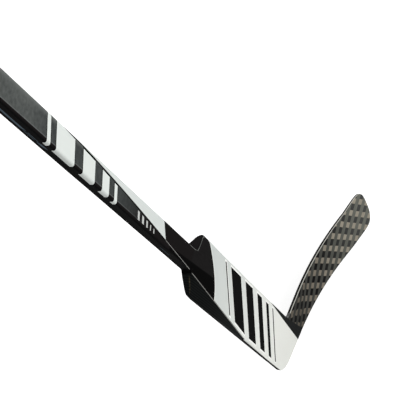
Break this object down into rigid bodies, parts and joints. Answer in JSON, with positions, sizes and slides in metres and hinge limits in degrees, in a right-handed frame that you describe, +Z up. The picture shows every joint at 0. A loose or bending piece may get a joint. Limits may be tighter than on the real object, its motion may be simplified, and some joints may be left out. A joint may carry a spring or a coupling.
{
  "type": "hockey goalie stick",
  "caption": "Composite goalie stick for ice hockey: hollow shaft, wide flat paddle with a slanted facet, and a blade with a woven face that curves forward to a rounded toe.",
  "frame": {"origin": "on the sole of the blade, in the middle plane of the shaft, 106 mm toward the toe from the corner where the heel edge and the sole would meet", "axes": "+X along the blade to the toe, +Y to the back of the stick, +Z up from the sole; the shaft leans back from +Z toward -X"},
  "size_m": [1.1037, 0.0595, 1.228],
  "materials": {
    "shaft_laminate": "satin",
    "end_plug": "matte",
    "inner_laminate": "matte",
    "paddle_front": "gloss",
    "paddle_back": "gloss",
    "foam": "matte",
    "blade_weave": "semi-gloss",
    "blade_edge": "semi-gloss"
  },
  "bodies": {
    "root": {"shaft_tube": "shaft_laminate", "butt_end_plug": "end_plug", "shaft_tang": "inner_laminate", "paddle_front_shell": "paddle_front", "paddle_back_shell": "paddle_back", "paddle_spar": "inner_laminate", "paddle_core_toe": "foam", "paddle_core_heel": "foam", "heel_block": "inner_laminate", "blade_front_skin": "blade_weave", "blade_back_skin": "blade_weave", "blade_edge_band": "blade_edge", "blade_core_upper": "foam", "blade_core_lower": "foam", "blade_rib": "inner_laminate"}
  },
  "joints": []
}
